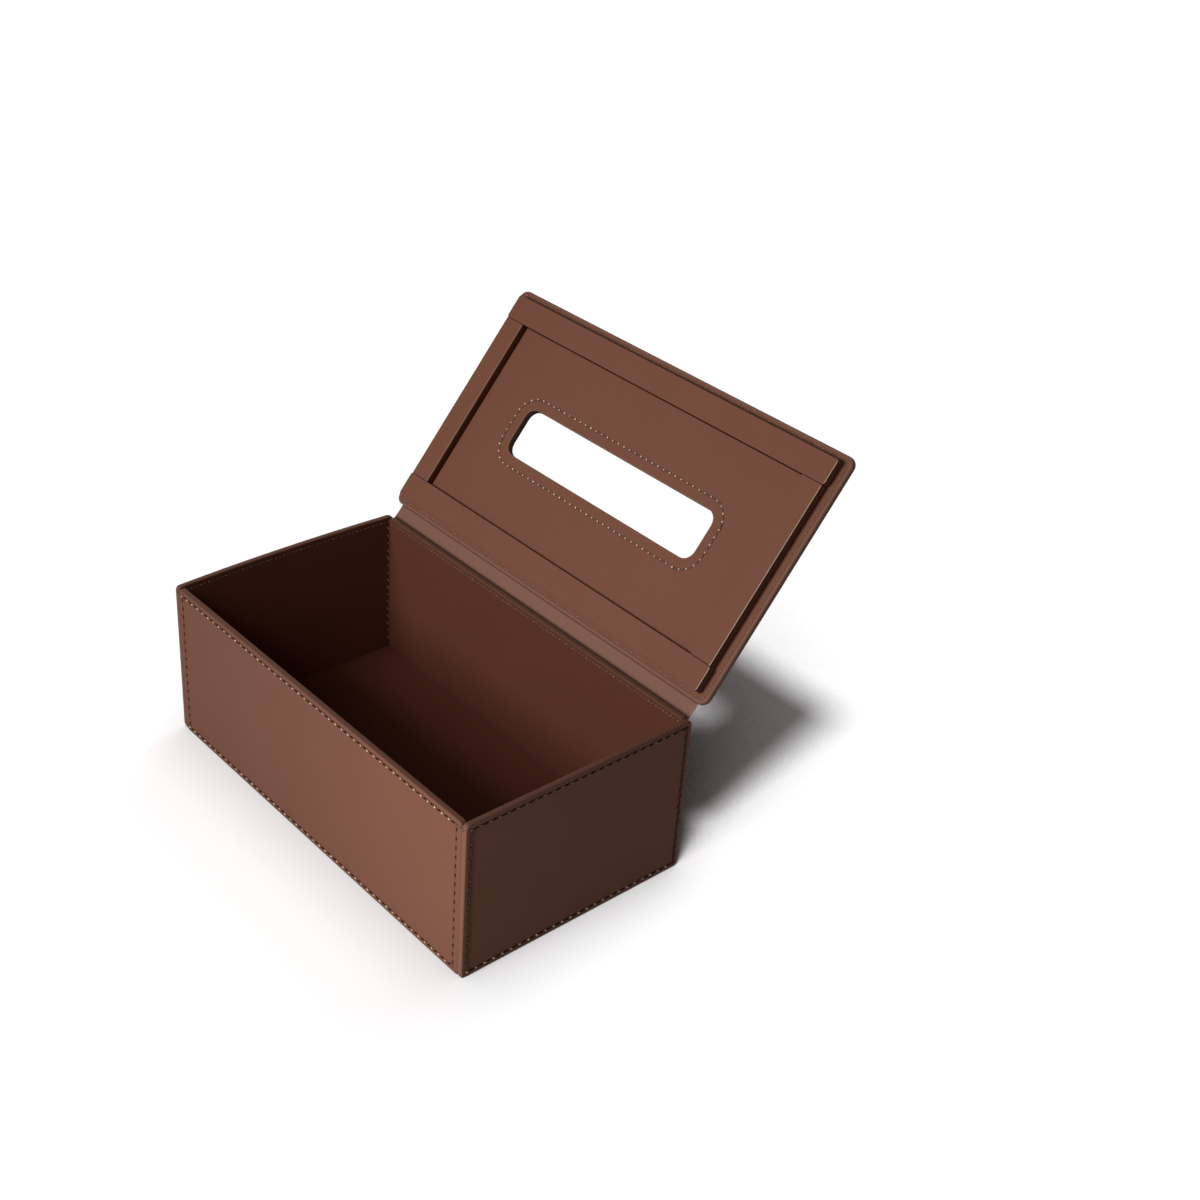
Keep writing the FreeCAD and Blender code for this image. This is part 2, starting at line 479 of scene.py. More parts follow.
@dataclass(frozen=True)
class Seam:
    """Line of stitches in a piece's plane: a row of needle holes with thread from each to the next."""

    start: np.ndarray
    end: np.ndarray
    # How dark the painted shade in the needle holes and along the groove is
    mark: float = 1.0
    groove_width: float = 0.5 * MM
    groove_depth: float = 0.16 * MM
    groove_mark: float = 0.18
    hole_radius: float = 0.6 * MM
    hole_depth: float = 0.45 * MM

    @classmethod
    def row(cls, first: tuple[float, float], last: tuple[float, float], pitch: float) -> "Seam":
        """Straight row of stitches from one point to another.

        Args:
            first: the first needle hole.
            last: the last needle hole.
            pitch: about how far apart the holes are.

        Returns:
            The row, with its holes evenly spaced.
        """
        count = max(1, round(math.dist(first, last) / pitch))
        holes = np.linspace(first, last, count + 1)
        return cls(holes[:-1], holes[1:])

    @classmethod
    def round(cls, outline: Outline, pitch: float) -> "Seam":
        """Closed line of stitches along a rounded outline.

        Args:
            outline: what the line follows.
            pitch: about how far apart the holes are.

        Returns:
            The line, with its holes evenly spaced along its length.
        """
        fine = Sampling(400, 400, 40)
        ring = Rings.round_outline(outline, [(0, 0)]).points(fine)[0, :, :2]
        loop = np.vstack([ring, ring[:1]])
        run = run_along(loop)
        holes = on_line(np.linspace(0, run[-1], round(run[-1] / pitch) + 1), run, loop)
        return cls(holes[:-1], holes[1:])

    def knots(self, length: float = 1.2 * MM) -> tuple[np.ndarray, np.ndarray]:
        """Where the pale under thread shows at the needle holes.

        Args:
            length: how much of the thread shows.

        Returns:
            The two ends of each bit of thread.
        """
        span = self.end - self.start
        step = span / np.linalg.norm(span, axis=1, keepdims=True) * length / 2
        return self.start - step, self.start + step

    def dip(self, points: np.ndarray) -> tuple[np.ndarray, np.ndarray]:
        """How far the stitches draw the leather down, and the shade painted in their holes and groove.

        The depth is a groove that fades with the square of the distance from the nearest span, plus a
        pit that fades the same way round the nearest needle hole.

        Args:
            points: rows of X and Y in the piece's plane.

        Returns:
            The depth at each point, and how much of a needle hole each point is, from 0 to 1.
        """
        span = self.end - self.start
        offset = points[:, None, :] - self.start
        share = np.clip((offset * span).sum(axis=2) / (span * span).sum(axis=1), 0, 1)
        from_line = np.linalg.norm(offset - share[..., None] * span, axis=2).min(axis=1)
        from_hole = np.minimum(
            np.linalg.norm(offset, axis=2).min(axis=1),
            np.linalg.norm(points[:, None, :] - self.end, axis=2).min(axis=1),
        )
        pit = np.exp(-((from_hole / self.hole_radius) ** 2))
        groove = np.exp(-((from_line / self.groove_width) ** 2))
        depth = self.groove_depth * groove + self.hole_depth * pit
        return depth, self.mark * np.maximum(pit, self.groove_mark * groove)


@dataclass(frozen=True)
class StitchRow:
    """One row of a panel's stitches: where it runs, its thread and the pale thread at its needle holes."""

    seam: Seam
    thread: ThreadShape
    knot: ThreadShape


@dataclass(frozen=True)
class Sewing:
    """How a panel is sewn: how pale the under thread is in its rows, and how its upright rows look."""

    top_pale: float
    foot_pale: float
    upright_pale: float
    upright_thread: ThreadShape
    # How strong the painted shade is along the upright rows
    upright_mark: float


LONG_WALL_SEWING = Sewing(1.0, 1.0, 0.0, DASH, 0.15)
SIDE_WALL_SEWING = Sewing(0.3, 1.0, 0.1, ZIGZAG, 1.0)


# Finishes

Colour = tuple[float, float, float, float]


@dataclass(frozen=True)
class Value:
    """Number socket of a finish's nodes, with arithmetic that adds Math nodes."""

    finish: "NodeFinish"
    socket: bpy.types.NodeSocket

    def math(self, operation: str, first: "Value | float", second: "Value | float") -> "Value":
        """Result of a Math node on two values or numbers."""
        return self.finish.value("ShaderNodeMath", {"operation": operation}, {0: first, 1: second})

    def __add__(self, other: "Value | float") -> "Value":
        """This value plus another."""
        return self.math("ADD", self, other)

    def __radd__(self, other: float) -> "Value":
        """A number plus this value."""
        return self.math("ADD", other, self)

    def __sub__(self, other: "Value | float") -> "Value":
        """This value less another."""
        return self.math("SUBTRACT", self, other)

    def __rsub__(self, other: float) -> "Value":
        """A number less this value."""
        return self.math("SUBTRACT", other, self)

    def __mul__(self, other: "Value | float") -> "Value":
        """This value times another."""
        return self.math("MULTIPLY", self, other)

    def __rmul__(self, other: float) -> "Value":
        """A number times this value."""
        return self.math("MULTIPLY", other, self)


class NodeFinish:
    """Node tree of a material or of the sky, with the few ways in which its nodes are added."""

    def __init__(self, owner: bpy.types.Material | bpy.types.World) -> None:
        """Empty tree of that material or sky."""
        owner.use_nodes = True
        self.owner = owner
        self.tree = owner.node_tree
        self.tree.nodes.clear()

    @classmethod
    def new(cls, name: str) -> "NodeFinish":
        """Empty tree of a new material."""
        return cls(bpy.data.materials.new(name))

    def node(self, kind: str, settings: dict | None = None, inputs: dict | None = None) -> bpy.types.Node:
        """New node with its settings made first and its sockets then filled.

        Args:
            kind: the node's type.
            settings: values for the node's own properties.
            inputs: a number, colour, Value or socket for each input, by name or place.

        Returns:
            The node.
        """
        made = self.tree.nodes.new(kind)
        for name, setting in (settings or {}).items():
            setattr(made, name, setting)
        for key, given in (inputs or {}).items():
            socket = made.inputs[key] if isinstance(key, int) else self.open_socket(made.inputs, key)
            given = given.socket if isinstance(given, Value) else given
            if isinstance(given, bpy.types.NodeSocket):
                self.tree.links.new(given, socket)
            else:
                socket.default_value = given
        return made

    @staticmethod
    def open_socket(sockets: bpy.types.bpy_prop_collection, name: str) -> bpy.types.NodeSocket:
        """First socket of that name that the node's settings leave in use."""
        return next(socket for socket in sockets if socket.name == name and socket.enabled)

    def value(
        self, kind: str, settings: dict | None = None, inputs: dict | None = None, output: str = "",
    ) -> Value:
        """Number output of a new node, its first one unless another is named."""
        made = self.node(kind, settings, inputs)
        return Value(self, self.open_socket(made.outputs, output) if output else made.outputs[0])

    def blend(self, factor: Value | float, first: object, second: object) -> bpy.types.NodeSocket:
        """Colour between two colours.

        Args:
            factor: 0 for the first colour, 1 for the second.
            first: a colour or a colour socket.
            second: a colour or a colour socket.

        Returns:
            The mixed colour's socket.
        """
        inputs = {"Factor": factor, "A": first, "B": second}
        return self.open_socket(self.node("ShaderNodeMix", {"data_type": "RGBA"}, inputs).outputs, "Result")

    def place(self) -> bpy.types.NodeSocket:
        """Where a point lies on its piece, in metres."""
        return self.node("ShaderNodeTexCoord").outputs["Object"]

    def noise(self, scale: float, detail: float, roughness: float = 0.5) -> Value:
        """Cloudy pattern from 0 to 1, at so many clouds a metre."""
        inputs = {"Vector": self.place(), "Scale": scale, "Detail": detail, "Roughness": roughness}
        return self.value("ShaderNodeTexNoise", None, inputs)

    def attribute(self, name: str) -> Value:
        """Number that a piece carries at each of its points."""
        return self.value("ShaderNodeAttribute", {"attribute_name": name}, None, "Fac")

    def openness(self, samples: int, inputs: dict) -> Value:
        """How open the space over a point is, from 0 to 1."""
        return self.value("ShaderNodeAmbientOcclusion", {"samples": samples}, inputs, "AO")

    def bump(self, height: Value, depth: float, strength: float) -> bpy.types.NodeSocket:
        """Normal that a height from 0 to 1 gives over a depth in metres."""
        inputs = {"Height": height, "Distance": depth, "Strength": strength}
        return self.node("ShaderNodeBump", None, inputs).outputs["Normal"]

    def output(self, shader: bpy.types.NodeSocket) -> bpy.types.Material:
        """Material with that shader on its surface."""
        self.node("ShaderNodeOutputMaterial", None, {"Surface": shader})
        return self.owner


def linear(red: int, green: int, blue: int) -> Colour:
    """Colour socket's value of a screen colour.

    Args:
        red: the red channel, from 0 to 255.
        green: the green channel, from 0 to 255.
        blue: the blue channel, from 0 to 255.

    Returns:
        The linear colour, with no transparency.
    """
    share = np.array([red, green, blue]) / 255
    curve = np.where(share <= 0.04045, share / 12.92, ((share + 0.055) / 1.055) ** 2.4)
    return (*curve.tolist(), 1.0)


@dataclass(frozen=True)
class LeatherFinish:
    """Smooth matte leather: mottled brown, paler on its edges for wear and painted highlights, and dark where
    shade is painted, as in its stitch holes.
    """

    name: str
    dark: Colour
    light: Colour
    worn_and_highlit: Colour
    pit: Colour
    slot: str
    roughness: float = 0.56
    mottle_scale: float = 26.0
    pore_scale: float = 1500.0
    crease_scale: float = 420.0
    grain_depth: float = 0.12 * MM
    gloss: float = 0.08

    def material(self) -> bpy.types.Material:
        """Material whose colour, roughness and grain follow the leather and its stitching.

        Returns:
            The material, which reads one attribute for wear and painted edge highlights and one for painted
            shade.
        """
        nodes = NodeFinish.new(self.name)
        mottle = nodes.noise(self.mottle_scale, 4, 0.6)
        cloud = nodes.noise(self.crease_scale, 3)
        pores = nodes.value(
            "ShaderNodeTexVoronoi", {"feature": "SMOOTH_F1"},
            {"Vector": nodes.place(), "Scale": self.pore_scale, "Smoothness": 0.6}, "Distance",
        )
        edge = nodes.attribute("edge")
        dip = nodes.attribute("dip")
        tone = nodes.blend(mottle * 0.75 + cloud * 0.25, self.dark, self.light)
        # Edges lighten towards the pale colour for wear and painted highlights; painted shade darkens towards
        # the dark colour
        rubbed_and_highlit = nodes.blend(edge * (0.5 + 0.5 * cloud), tone, self.worn_and_highlit)
        shader = nodes.node("ShaderNodeBsdfPrincipled", None, {
            "Base Color": nodes.blend(dip, rubbed_and_highlit, self.pit),
            "Roughness": self.roughness + 0.14 * (cloud - 0.5) - 0.08 * edge + 0.2 * dip,
            "Normal": nodes.bump(pores * 0.6 + cloud * 0.4, self.grain_depth, 0.35),
            "Specular IOR Level": self.gloss,
        })
        return nodes.output(shader.outputs["BSDF"])


@dataclass(frozen=True)
class ThreadFinish:
    """Waxed sewing thread, brown on top and pale underneath, with the turns of its ply along it."""

    name: str
    dark: Colour
    light: Colour
    pale: Colour
    slot: str = "thread"
    roughness: float = 0.42
    wax: float = 0.9
    fibre_scale: float = 5200.0
    ply_turns: float = 9.0

    def material(self) -> bpy.types.Material:
        """Material with a twisted ply in its colour and relief.

        Returns:
            The material, which reads the attributes ply and pale.
        """
        nodes = NodeFinish.new(self.name)
        fibre = nodes.noise(self.fibre_scale, 3)
        turns = nodes.attribute("ply") * self.ply_turns
        twist = turns.math("SINE", turns, 0.0) * 0.5 + 0.5
        pale = nodes.attribute("pale")
        brown = nodes.blend(0.5 * fibre + 0.5 * twist, self.dark, self.light)
        shader = nodes.node("ShaderNodeBsdfPrincipled", None, {
            "Base Color": nodes.blend(pale, brown, self.pale),
            "Coat Weight": self.wax * pale * pale,
            "Coat Roughness": 0.25,
            "Coat IOR": 2.4,
            "Roughness": self.roughness + 0.2 * (fibre - 0.5),
            "Normal": nodes.bump(twist * 0.7 + fibre * 0.3, 0.1 * MM, 0.5),
            "Specular IOR Level": 0.03,
        })
        return nodes.output(shader.outputs["BSDF"])


@dataclass(frozen=True)
class GreyboardFinish:
    """Pressed greyboard: flecked grey pulp with a faint weave from the felt."""

    name: str
    dark: Colour
    light: Colour
    fleck_scale: float = 900.0

    def material(self) -> bpy.types.Material:
        """Material of the boards inside the leather.

        Returns:
            The material.
        """
        nodes = NodeFinish.new(self.name)
        fleck = nodes.noise(self.fleck_scale, 5, 0.7)
        pulp = nodes.noise(self.fleck_scale / 12, 3)
        shader = nodes.node("ShaderNodeBsdfPrincipled", None, {
            "Base Color": nodes.blend(fleck * 0.6 + pulp * 0.4, self.dark, self.light),
            "Roughness": 0.85 + 0.1 * (pulp - 0.5),
            "Normal": nodes.bump(fleck, 0.08 * MM, 0.4),
            "Specular IOR Level": 0.2,
        })
        return nodes.output(shader.outputs["BSDF"])


class Finish(Enum):
    """The finishes of this box, by what they are on."""

    # The pale third colour is for worn edges and painted edge highlights, the dark fourth one for painted
    # shade
    LEATHER = LeatherFinish(
        "brown_leather", linear(130, 85, 67), linear(141, 93, 74), linear(245, 226, 214),
        linear(24, 14, 10), "leather",
    )
    # Lining of the box's walls, darker than the brown leather; the extra darkness is painted shade for the
    # inside of the box
    LINING = LeatherFinish(
        "lining_leather", linear(110, 64, 49), linear(118, 70, 54), linear(190, 150, 130),
        linear(24, 14, 10), "lining_leather", roughness=0.7,
    )
    THREAD = ThreadFinish("waxed_thread", linear(40, 25, 20), linear(70, 45, 36), linear(255, 218, 192))
    GREYBOARD = GreyboardFinish("greyboard", linear(132, 127, 120), linear(168, 163, 155))


class Workshop:
    """Turns surfaces into pieces, and holds the finishes that they share."""

    def __init__(self) -> None:
        """Workshop with every finish mixed."""
        self.materials = {finish: finish.value.material() for finish in Finish}

    def piece(
        self, name: str, surface: Surface, finish: Finish, replaces: tuple[str, ...] = (),
    ) -> bpy.types.Object:
        """New piece at the origin, with its place in its mesh.

        Args:
            name: the piece's name.
            surface: its closed surface.
            finish: what it is dressed in.
            replaces: the frame nodes that it stands for.

        Returns:
            The piece, which doesn't ride on a body yet.
        """
        surface = surface.outward()
        mesh = bpy.data.meshes.new(name)
        faces = surface.quads.tolist() + surface.triangles.tolist()
        mesh.from_pydata(surface.points.tolist(), [], faces)
        mesh.shade_smooth()
        for key, value in surface.values.items():
            mesh.attributes.new(key, "FLOAT", "POINT").data.foreach_set("value", value.astype(np.float32))
        mesh.materials.append(self.materials[finish])
        made = bpy.data.objects.new(name, mesh)
        bpy.context.scene.collection.objects.link(made)
        if replaces:
            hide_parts(*replaces)
        slot = getattr(finish.value, "slot", "")
        log.info("%s: %d faces in %s", name, len(faces), finish.value.name)
        return made

    def dress(self, node: str, finish: Finish) -> None:
        """Gives a frame node that stays in place a finish of its own.

        Args:
            node: the node's name.
            finish: what it is dressed in.
        """
        materials = frame["nodes"][node].data.materials
        materials.clear()
        materials.append(self.materials[finish])


# The box


class Wall(Enum):
    """The box's panels, by the direction that their leather faces."""

    FRONT = (0, -1, 0)
    BACK = (0, 1, 0)
    LEFT = (-1, 0, 0)
    RIGHT = (1, 0, 0)
    BASE = (0, 0, -1)


@dataclass
class Panel:
    """One sewn panel of the box: leather turned round a board, with a lining let in behind it."""

    wall: Wall
    sewing: Sewing | None = None
    bow: float = 0.0
    spacing: float = 0.75 * MM
    face_round: float = 0.65 * MM
    lip_round: float = 0.5 * MM
    corner: float = 2.5 * MM
    seam_inset: float = 2.9 * MM
    end_seam_inset: float = 3.1 * MM
    seam_pitch: float = 5.3 * MM
    wear_and_highlight: float = 0.04
    lining_round: float = 0.25 * MM
    lining_gap: float = 0.04 * MM
    inner_thread_sink: float = 0.36 * MM
    # How strong the painted shade is in the lining's stitch holes
    inner_mark: float = 0.25
    wear_width: float = 0.6 * MM
    seam_band: float = 1.5 * MM
    outer_band: float = 1.3 * MM
    ring_step: float = 0.22 * MM
    ridge_rings: int = 7
    board_rings: int = 8
    lip_turn: tuple[tuple[float, float], ...] = ((0.1 * MM, 0.0), (0.02 * MM, 0.04 * MM), (0.0, 0.15 * MM))

    def __post_init__(self) -> None:
        """Reads the panel's sizes and place from the frame."""
        self.name = self.wall.name.lower()
        cover = Extent.of(node_points(f"{self.name}_cover"))
        board = Extent.of(node_points(f"{self.name}_board"))
        lining = Extent.of(node_points(f"{self.name}_lining"))
        self.outwards = np.array(self.wall.value, float)
        self.up = np.array([0, 1, 0], float) if self.wall is Wall.BASE else np.array([0, 0, 1], float)
        self.along = np.cross(self.up, self.outwards)
        self.face = cover.centre + self.outwards * (cover.size @ np.abs(self.outwards)) / 2
        self.thick = cover.size @ np.abs(self.outwards)
        self.leather = (cover.size - board.size) @ np.abs(self.along) / 2
        self.lining_thick = lining.size @ np.abs(self.outwards)
        half = cover.size / 2
        self.outline = Outline(half @ np.abs(self.along), half @ np.abs(self.up), self.corner)
        self.core = self.outline.grown(-self.leather)
        self.sampling = Sampling.spaced(self.outline, self.spacing)

    def placed(self, points: np.ndarray) -> np.ndarray:
        """Points of the flat panel moved to its place, with any bow of its top edge.

        The bow is greatest in the middle of the top edge. It falls with the square of the distance from
        the middle along the panel, and with the square of the height above the foot.

        Args:
            points: rows of distance along, height above the middle and depth below the leather's face.

        Returns:
            Rows of X, Y and Z.
        """
        x, y, depth = np.moveaxis(points, -1, 0)
        rise = (y + self.outline.half_y) / (2 * self.outline.half_y)
        swell = self.bow * np.clip(1 - (x / self.outline.half_x) ** 2, 0, 1) * rise**2
        return (
            self.face + x[..., None] * self.along + y[..., None] * self.up
            + (swell - depth)[..., None] * self.outwards
        )

    def face_insets(self, reach: float, edge: float) -> np.ndarray:
        """Insets of a face's rings, close together along the seams and wide apart towards the middle ridge.

        Args:
            reach: the middle ridge's inset.
            edge: how far the face's outline lies inside the panel's own.

        Returns:
            The insets from the ridge outwards.
        """
        inner = max(self.seam_inset, self.end_seam_inset) - edge + self.seam_band
        outer = min(self.seam_inset, self.end_seam_inset) - edge - self.outer_band
        fine = np.arange(inner, outer, -self.ring_step)
        return np.concatenate([np.linspace(reach, inner + self.seam_band, self.ridge_rings), fine])

    def skin(
        self, outline: Outline, profile: np.ndarray, faces: int, rows: list[StitchRow], inwards: float,
    ) -> Surface:
        """Skin over a panel: a profile carried round the outline, with its face drawn down by its stitches
        and shade painted in their holes.

        Args:
            outline: what the profile is carried along.
            profile: rows of inset and depth, from ridge to ridge.
            faces: how many of the profile's rows lie on the stitched face.
            rows: the stitches in that face.
            inwards: plus one where the face's own leather lies deeper, minus one where it lies higher.

        Returns:
            The closed skin in its place.
        """
        points = Rings.round_outline(outline, profile).points(self.sampling)
        dip = np.zeros(points.shape[:2])
        flat = points[:faces, :, :2].reshape(-1, 2)
        # The stitches draw the face down and paint shade in their holes and grooves
        for row in rows:
            depth, pit = row.seam.dip(flat)
            points[:faces, :, 2] += inwards * depth.reshape(faces, -1)
            dip[:faces] = np.maximum(dip[:faces], pit.reshape(faces, -1))
        worn_and_highlit = self.wear_and_highlight * np.exp(-((profile[:, :1] / self.wear_width) ** 2))
        return Surface.over_rings(self.placed(points), False, dip=dip, edge=np.broadcast_to(worn_and_highlit, dip.shape))

    def cover(self, rows: list[StitchRow]) -> Surface:
        """Leather from the face's middle to the edge, round it, in over the board's back and closed inside.

        Args:
            rows: the stitches in its face.

        Returns:
            The closed skin in its place.
        """
        reach, lip = self.outline.reach, self.leather - self.lining_gap
        face = flat_profile(self.face_insets(reach, 0.0), 0.0)
        outer = quarter_round(self.face_round, self.face_round, self.face_round, 1, -1)
        inner = quarter_round(self.lip_round, self.thick - self.lip_round, self.lip_round, 1, 0)
        turn = [(lip - inset, self.thick - drop) for inset, drop in self.lip_turn]
        seat = [(lip, self.leather), (reach, self.leather)]
        profile = np.vstack([face, outer, inner[:-1], turn, seat])
        return self.skin(self.outline, profile, len(face), rows, 1)

    def lining(self, rows: list[StitchRow]) -> Surface:
        """Sheet let in flush behind the board, its face towards the inside of the box.

        Args:
            rows: the stitches in its face.

        Returns:
            The closed sheet in its place.
        """
        outline = self.core.grown(-self.lining_gap)
        reach, radius = outline.reach, self.lining_round
        face = flat_profile(self.face_insets(reach, self.leather), self.thick)
        edge = quarter_round(radius, self.thick - radius, radius, -1, 1)
        back = self.thick - self.lining_thick
        profile = np.vstack([face, edge, [(0, back), (reach, back)]])
        return self.skin(outline, profile, len(face), rows, -1)

    def board(self) -> Surface:
        """Board between the two, bowed as they are.

        Returns:
            The closed board in its place.
        """
        middle = np.linspace(self.core.reach, 0, self.board_rings)
        face = flat_profile(middle, self.leather)
        rear = flat_profile(middle[::-1], self.thick - self.lining_thick)
        return self.skin(self.core, np.vstack([face, rear]), 0, [], 1)

    def row(self, first: tuple[float, float], last: tuple[float, float], mark: float) -> Seam:
        """Row between two of the stitch line's corners, each given in halves of its sides."""
        half = np.array([self.outline.half_x - self.end_seam_inset, self.outline.half_y - self.seam_inset])
        return replace(Seam.row(tuple(half * first), tuple(half * last), self.seam_pitch), mark=mark)

    def outer_rows(self) -> list[StitchRow]:
        """Rows along the four edges of the leather's face, which meet in its corners.

        Returns:
            The upper, lower, left and right row.
        """
        sewing = self.sewing
        upright = (sewing.upright_thread, replace(KNOT, pale=sewing.upright_pale))
        return [
            StitchRow(self.row((-1, 1), (1, 1), 1.0), THREAD, replace(KNOT, pale=sewing.top_pale)),
            StitchRow(self.row((-1, -1), (1, -1), 1.0), THREAD, replace(KNOT, pale=sewing.foot_pale)),
            StitchRow(self.row((-1, -1), (-1, 1), sewing.upright_mark), *upright),
            StitchRow(self.row((1, -1), (1, 1), sewing.upright_mark), *upright),
        ]

    def inner_rows(self) -> list[StitchRow]:
        """The row along the lining's top edge, where the upper outer row comes through."""
        return [StitchRow(self.row((-1, 1), (1, 1), self.inner_mark), FAINT, FAINT_KNOT)]

    def thread(self, rows: list[StitchRow], depth: float, outwards: float, seed: int) -> Surface:
        """Thread of the rows on one of the panel's faces.

        Args:
            rows: the stitches.
            depth: the face's depth below the leather's own face.
            outwards: plus one on the leather's face, minus one on the lining's.
            seed: what the beads' small differences are drawn from.

        Returns:
            The beads of thread in their place.
        """
        def beads(shape: ThreadShape, sides: tuple[np.ndarray, np.ndarray], number: int) -> Surface:
            """Beads of one shape between two rows of points in the panel's plane."""
            start, end = [self.placed(at_level(side, depth)) for side in sides]
            normal = np.broadcast_to(self.outwards * outwards, start.shape)
            return shape.surface(start, end, normal, seed + number)

        sewn = []
        for number, row in enumerate(rows):
            sewn.append(beads(row.thread, (row.seam.start, row.seam.end), number))
            if row.knot.pale:
                sewn.append(beads(row.knot, row.seam.knots(), number))
        return reduce(Surface.with_more, sewn)

    def build(self, shop: Workshop, seed: int) -> list[bpy.types.Object]:
        """Makes the panel's pieces and sets them on the box.

        Args:
            shop: where the pieces are made.
            seed: what the stitches' small differences are drawn from.

        Returns:
            The pieces.
        """
        outer = self.outer_rows() if self.sewing else []
        inner = self.inner_rows() if self.sewing else []
        cover, board, lining = [f"{self.name}_{layer}" for layer in ("cover", "board", "lining")]
        made = [
            shop.piece(f"{self.name}_leather", self.cover(outer), Finish.LEATHER, (cover,)),
            shop.piece(f"{self.name}_inner_lining", self.lining(inner), Finish.LINING, (lining,)),
        ]
        if self.bow:
            made.append(shop.piece(f"{self.name}_bowed_board", self.board(), Finish.GREYBOARD, (board,)))
        else:
            shop.dress(board, Finish.GREYBOARD)
        if self.sewing:
            front = self.thread(outer, 0.0, 1, seed)
            back = self.thread(inner, self.thick - self.inner_thread_sink, -1, seed + INNER_SEED)
            made.append(shop.piece(f"{self.name}_stitches", front, Finish.THREAD))
            made.append(shop.piece(f"{self.name}_inner_stitches", back, Finish.THREAD))
        for piece in made:
            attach(piece, BOX_BODY)
        return made


# The lid


@dataclass
class RimStrip:
    """Leather strip under the lid that drops inside the box's walls."""

    name: str
    hinge: LidHinge
    corner: float
    joint: float
    # How strong the painted highlight is on the strip's edges that face +X
    wear_and_highlight: float
    edge_round: float = 0.3 * MM
    leather: float = 0.9 * MM
    fade: float = 0.12 * MM
    # How dark the painted shade is on the strip's sides that face +X
    painted_side_shade: float = 0.45
    face_margin: float = 1.2 * MM
    face_rings: int = 6
    spacing: float = 1.6 * MM

    def build(self, shop: Workshop) -> bpy.types.Object:
        """Leather from the middle of the strip's face, round its edges, up its sides and closed inside.

        Args:
            shop: where the piece is made.

        Returns:
            The strip, which rides on the lid.
        """
        extent = Extent.of(self.hinge.shut(node_points(f"{self.name}_cover")))
        outline = Outline(extent.size[0] / 2, extent.size[1] / 2 - self.joint, self.corner)
        reach = outline.reach
        low, high = extent.low[2], extent.high[2]
        core, beside = low + self.leather, self.edge_round + self.fade
        face = flat_profile(np.linspace(reach, self.face_margin, self.face_rings), low)
        edge = quarter_round(self.edge_round, low + self.edge_round, self.edge_round, 1, -1)
        inside = [(0, high), (self.leather, high), (self.leather, core), (reach, core)]
        profile = np.vstack([face, [(beside, low)], edge, [(0, low + beside)], inside])
        turned = len(face) + 1
        # Painted highlight on the rounded edge and painted shade on the side beyond it, only where the strip
        # faces +X
        worn_and_highlit, shaded = np.zeros((2, len(profile)))
        worn_and_highlit[turned:turned + len(edge) // 2] = self.wear_and_highlight
        shaded[turned + len(edge):turned + len(edge) + 2] = self.painted_side_shade
        sampling = Sampling.spaced(outline, self.spacing)
        points = Rings.round_outline(outline, profile).points(sampling)
        points[..., :2] += extent.centre[:2]
        facing = np.maximum(sampling.directions()[1][:, 0], 0) ** 2
        worn_and_highlit, shaded = np.outer(worn_and_highlit, facing), np.outer(shaded, facing)
        surface = Surface.over_rings(self.hinge.opened(points), False, edge=worn_and_highlit, dip=shaded)
        piece = shop.piece(f"{self.name}_leather", surface, Finish.LEATHER, (f"{self.name}_cover",))
        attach(piece, LID_BODY)
        shop.dress(f"{self.name}_board", Finish.GREYBOARD)
        return piece


